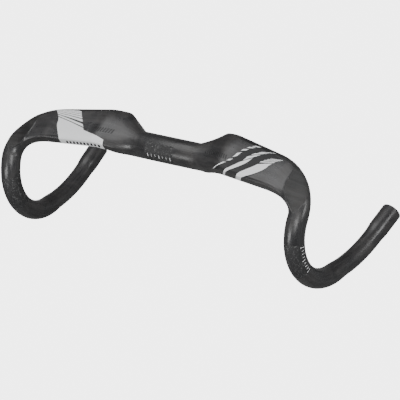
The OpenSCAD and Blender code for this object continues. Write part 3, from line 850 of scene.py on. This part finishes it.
def panel_net(start, end, rows):
    """The panel between two cross lines, each given by its angles at the inner and the outer edge."""
    r = np.linspace(0, 1, rows)
    a, b = (angle_of(mix(plan_of(start[i]), plan_of(end[i]), r)) for i in (0, 1))
    turns = np.array([PANEL_CORNER, PANEL_STEP, PANEL_TOP])
    inner = np.stack([np.interp(plan_of(a), plan_of(turns[:, 1]), turns[:, 0]), a], -1)
    outer = np.stack([mix(*PANEL_OUT, ease((NOSE - b) / (NOSE - PANEL_END))), b], -1)
    return between(inner, outer, 48)


lines = [np.array([mix(*LINE_IN, i / PANEL_LINES), mix(*LINE_OUT, i / PANEL_LINES)])
         for i in range(PANEL_LINES + 1)]
nets = [panel_net((PANEL_TUCK, PANEL_TUCK), lines[0], 160)]
nets += [panel_net(low - LINE_WIDE * (1 - LINE_THIN * i / PANEL_LINES), high, 12)
         for i, (low, high) in enumerate(zip(lines, lines[1:]))]
print_piece("right_panel_film", nets, 0.12, silver_print, -1, "right_wing_panel")

# The dark ground under the stripes has an inner and an outer edge like theirs.
GROUND = ((85, 134, 33, 1.15), (134, 169, 57, 1.2))
print_piece("left_stripe_ground", [stripe_net(*GROUND, 0, 1, 80, 60)], 0.07, dark_print, 1)

# The leaf carries a film of darker carbon, a little inside its bright rim: painted shade for the facet's
# tilt away from the light.
LEAF_SHY = 1.5           # how far the film stays from the leaf's two points
RIM_SHY = 6.0            # and from its edges, in degrees
leaf_s = np.linspace(LEAF_FROM + LEAF_SHY, LEAF_TO - LEAF_SHY, 90)
high, low = leaf_edges(leaf_s)
rim = np.minimum(RIM_SHY, (high - low) / 4)
leaf_net = mix(np.stack([leaf_s, low + rim], -1)[:, None], np.stack([leaf_s, high - rim], -1)[:, None],
               np.linspace(0, 1, 50)[None, :, None])
for side, hand in ((1, "left"), (-1, "right")):
    print_piece(hand + "_leaf_shade_film", [leaf_net], 0.05, leaf_shade_carbon, side)

# A plain row of slanted dashes along the panel's front edge, and faint bars beside the seat.
DASH_WIDE = 2.8
DASH_SLANT = 0.8
BAR_WIDE = 1.6
BAR_TURN = 0.4           # how much lower, in degrees, a bar's outer corners are


def slanted(x, wide, slant, low, high, turn, rows):
    """A thin bar at x from one angle to another, with its start moved out by slant."""
    start = [x + slant, low, x + slant + wide, low - turn]
    return strip([start, [x, high, x + wide, high - turn]], rows, 3)


dashes = [slanted(x, DASH_WIDE, DASH_SLANT, 192, 168, 0, 8) for x in np.arange(84, 130, 5.0)]
print_piece("panel_edge_dashes", dashes, 0.2, dark_print, -1)
for side, hand, low, high in ((1, "left", 60, 96), (-1, "right", 73, 98)):
    bars = [slanted(x, BAR_WIDE, BAR_WIDE, 108, 96, BAR_TURN, 6)
            for x in np.arange(low, high, 2 * BAR_WIDE)]
    print_piece(hand + "_faint_bars", bars, 0.05, dark_print, side)

# ---- Grip coats and scales ----

# On a scale the first mark is long, and so is each third one after it on the stem seat and each
# fourth one on a lever zone.
STEM_MARKS = 7
LEVER_MARKS = 9
LEVER_FIRST = 27.0       # angle round the hook of the first mark, and the step to the next
LEVER_STEP = 4.0
MARK_WIDE = 0.63
COAT_STAND = 0.1         # how far the lever coat stands out and how far it sinks in
COAT_SINK = 0.05
COAT_FROM = math.radians(24) * HOOK_R
COAT_ARC = math.radians(38) * HOOK_R


def seat_point(x, a, inset=0.0):
    """The round seat at x and angle a: 0 is up and 90 the front."""
    r = SEAT_R - inset
    return stack(x, -r * sin(a), r * cos(a))


def lever_point(d, a, inset=0.0):
    """The drop's surface at d along it and angle a round it."""
    d, a = spread(d, a)
    return drop_point(d, a, TUBE_R - inset)


coat = strip([[-26, 11, 15, 11], [-26, 150, 15, 150]], 120, 40)
print_piece("stem_grip_film", [coat], 0.05, grip_paint, 1, "stem_grip_coat", seat_point)
marks = []
for i, x in enumerate(np.linspace(-22, 11, STEM_MARKS)):
    w, top = (1.0, 78) if i % 3 == 0 else (0.5, 74)
    marks.append(strip([[x, 62, x + w, 62], [x, top, x + w, top]], 10, 3))
print_piece("stem_scale_marks", marks, 0.1, silver_print, 1, "stem_scale", base=seat_point)

for side, hand in ((1, "left"), (-1, "right")):
    d = np.linspace(COAT_FROM, COAT_FROM + COAT_ARC, 60)[:, None]
    a = round_a[None, :]
    outer = drop_point(d, a, TUBE_R + COAT_STAND + 0 * d)
    inner = drop_point(d, a, TUBE_R - COAT_SINK + 0 * d)
    p, f, t = shell(outer, inner, True, np.zeros((60, len(round_a), 2)))
    make(hand + "_lever_grip_film", p, f, grip_paint, hand + "_lever_grip_coat", side=side)
    marks = []
    for i in range(LEVER_MARKS):
        at = math.radians(LEVER_FIRST + LEVER_STEP * i) * HOOK_R
        half = 16 if i % 4 == 0 else 9
        marks.append(strip([[at, -half, at + MARK_WIDE, -half], [at, half, at + MARK_WIDE, half]], 14, 3))
    print_piece(hand + "_lever_scale_marks", marks, 0.18, silver_print, side, hand + "_lever_scale",
                base=lever_point)

# ---- CAD pieces that keep their own shape ----

KEPT = {"joint_sleeve": raw_carbon, "cable_liner": liner_plastic, "stem_port_grommet": black_rubber,
        "lever_port_grommet": black_rubber}
for name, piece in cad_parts.items():
    for ending, material in KEPT.items():
        if name.endswith(ending):
            piece.data.materials.clear()
            piece.data.materials.append(material)

# ---- Floor, light and camera ----

def flat_piece(name, size, z, material):
    """A square on the level z, which isn't part of the bar."""
    mesh = bpy.data.meshes.new(name)
    h = size / 2
    mesh.from_pydata([(-h, -h, z), (h, -h, z), (h, h, z), (-h, h, z)], [], [(0, 1, 2, 3)])
    mesh.materials.append(material)
    o = bpy.data.objects.new(name, mesh)
    bpy.context.scene.collection.objects.link(o)


paper = bpy.data.materials.new("white_paper")
paper.use_nodes = True
t = paper.node_tree
shader = t.nodes["Principled BSDF"]
shader.inputs["Base Color"].default_value = (0.22, 0.22, 0.22, 1)
shader.inputs["Roughness"].default_value = 1.0
shader.inputs["Specular IOR Level"].default_value = 0.0
glow = node(t, "ShaderNodeEmission", (0, -300))
glow.inputs["Strength"].default_value = 4.5
path = node(t, "ShaderNodeLightPath", (-300, 300))
pick = node(t, "ShaderNodeMixShader", (250, 0))
link(t, path, "Is Camera Ray", pick, 0)
link(t, shader, 0, pick, 1)
link(t, glow, 0, pick, 2)
link(t, pick, 0, t.nodes["Material Output"], "Surface")
flat_piece("floor", 30.0, float(cad_low.z) - 0.0005, paper)

world = bpy.data.worlds.new("studio")
bpy.context.scene.world = world
world.use_nodes = True
t = world.node_tree
place = node(t, "ShaderNodeTexCoord", (-900, 0))
split = node(t, "ShaderNodeSeparateXYZ", (-700, 0))
link(t, place, "Generated", split, 0)
sky = ramp(t, [(0.0, 0.02), (0.25, 0.05), (0.7, 0.35), (1.0, 0.6)], (-500, 0))
link(t, split, "Z", sky, 0)
link(t, sky, 0, t.nodes["Background"], "Color")
t.nodes["Background"].inputs["Strength"].default_value = 0.6


def placed(x, y, z, place):
    """The matrix that sends the three axes to x, y and z and the origin to place."""
    return Matrix([[x[i], y[i], z[i], place[i]] for i in range(3)] + [[0, 0, 0, 1]])


def softbox(name, place, target, size, power):
    """A rectangular area light at place, whose back points away from the target."""
    light = bpy.data.lights.new(name, "AREA")
    light.shape, light.size, light.size_y, light.energy = "RECTANGLE", size[0], size[1], power
    o = bpy.data.objects.new(name, light)
    z = np.array(place, float) - np.array(target, float)
    z = z / np.linalg.norm(z)
    x = np.cross((0, 1, 0.01), z)
    x = x / np.linalg.norm(x)
    o.matrix_world = placed(x, np.cross(z, x), z, place)
    bpy.context.scene.collection.objects.link(o)


softbox("top_softbox", (-0.35, 0.45, 1.5), (0, 0, 0), (1.5, 1.2), 16)
softbox("key_softbox", (1.0, -0.75, 1.2), (0, 0, 0), (0.9, 0.6), 18)
softbox("front_softbox", (-0.5, -1.6, 0.9), (0, 0, 0), (1.0, 0.5), 15)
softbox("side_softbox", (1.7, 0.5, 0.5), (0.1, 0, -0.05), (0.5, 0.9), 12)

# The camera: how far it is turned to the rider's left, how far it is raised, how far it is rolled,
# in degrees, and how far it stands, in metres, from the point that it looks at.
CAMERA_TURN = 56.65
CAMERA_HEIGHT = 45.95
CAMERA_ROLL = 34.65
CAMERA_FAR = 2.844
CAMERA_AIM = (0.038, -0.030, -0.047)


def looking_from(turn, height, roll, far, aim):
    """A camera's place: back is the way from the aim to the camera, level is the sideways direction
    with no roll, and right and up are level and its upward partner turned about back."""
    back = np.array([sin(turn) * cos(height), -cos(turn) * cos(height), sin(height)])
    level = np.array([cos(turn), sin(turn), 0.0])
    rise = np.cross(back, level)
    right = cos(roll) * level - sin(roll) * rise
    up = sin(roll) * level + cos(roll) * rise
    return placed(right, up, back, np.array(aim) + far * back)


camera = bpy.data.cameras.new("camera")
camera.sensor_width, camera.lens = 36.0, 219.29
camera.clip_start, camera.clip_end = 0.05, 60
eye = bpy.data.objects.new("camera", camera)
eye.matrix_world = looking_from(CAMERA_TURN, CAMERA_HEIGHT, CAMERA_ROLL, CAMERA_FAR, CAMERA_AIM)
bpy.context.scene.collection.objects.link(eye)
bpy.context.scene.camera = eye
